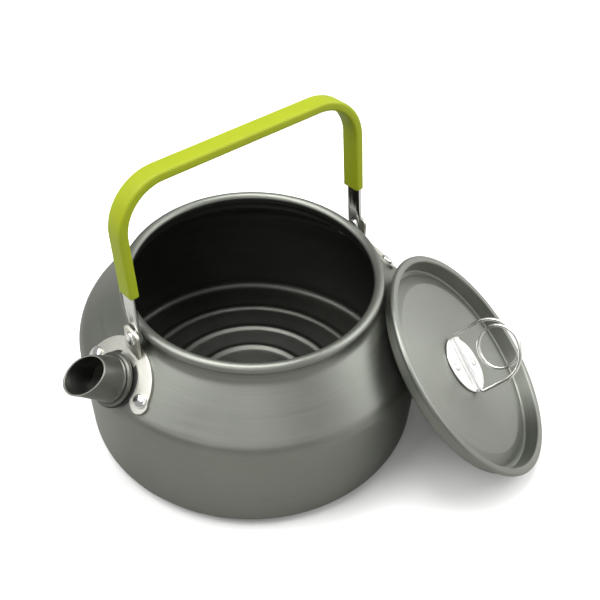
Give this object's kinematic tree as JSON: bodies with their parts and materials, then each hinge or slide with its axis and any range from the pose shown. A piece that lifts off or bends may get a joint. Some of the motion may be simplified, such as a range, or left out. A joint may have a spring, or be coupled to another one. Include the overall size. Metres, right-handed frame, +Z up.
{
  "type": "camping kettle",
  "caption": "Squat anodised camping kettle with a short spout, a folding sleeved bail handle and its lid standing open against the neck.",
  "frame": {"origin": "centre of the kettle's base, on the surface that it stands on", "axes": "+Z up along the kettle's axis, -X towards the spout, the handle's pivots in line along X"},
  "size_m": [0.2021, 0.1915, 0.1428],
  "materials": {
    "anodised_body": "matte grey hard anodising",
    "anodised_spout": "satin dark grey hard anodising",
    "plate_steel": "stamped and polished stainless steel",
    "strap_steel": "polished stainless steel strap",
    "rivet_steel": "polished rivet heads",
    "holder_steel": "bright brushed stainless steel",
    "wire_steel": "bright drawn wire",
    "sleeve_silicone": "matte lime green silicone",
    "seal": "black silicone"
  },
  "bodies": {
    "kettle": {"kettle_body": "anodised_body", "spout_tube": "anodised_spout", "spout_gasket": "seal", "front_bracket": "plate_steel", "rear_bracket": "plate_steel", "front_rivet_left": "rivet_steel", "front_rivet_right": "rivet_steel", "rear_rivet_left": "rivet_steel", "rear_rivet_right": "rivet_steel", "front_pivot_rivet": "rivet_steel", "front_pivot_washer": "strap_steel", "rear_pivot_rivet": "rivet_steel", "rear_pivot_washer": "strap_steel"},
    "handle": {"handle_strap": "strap_steel", "handle_sleeve": "sleeve_silicone"},
    "lid": {"lid_panel": "anodised_body", "ring_holder": "holder_steel", "holder_rivet_lower": "rivet_steel", "holder_rivet_upper": "rivet_steel"},
    "lid_ring": {"lid_ring": "wire_steel"}
  },
  "joints": [
    {"name": "handle_fold", "type": "hinge", "parent": "kettle", "child": "handle", "pos_m": [0, 0, 0.0725], "axis": [1, 0, 0], "range_deg": [-84, 78]},
    {"name": "lid_lift", "type": "slide", "parent": "kettle", "child": "lid", "axis": [0.5032, -0.4843, 0.7157], "range_m": [0, 0.08]},
    {"name": "ring_fold", "type": "hinge", "parent": "lid", "child": "lid_ring", "pos_m": [0.0654, -0.06951, 0.03649], "axis": [0.1301, 0.8612, 0.4913], "range_deg": [-70, 80]}
  ]
}
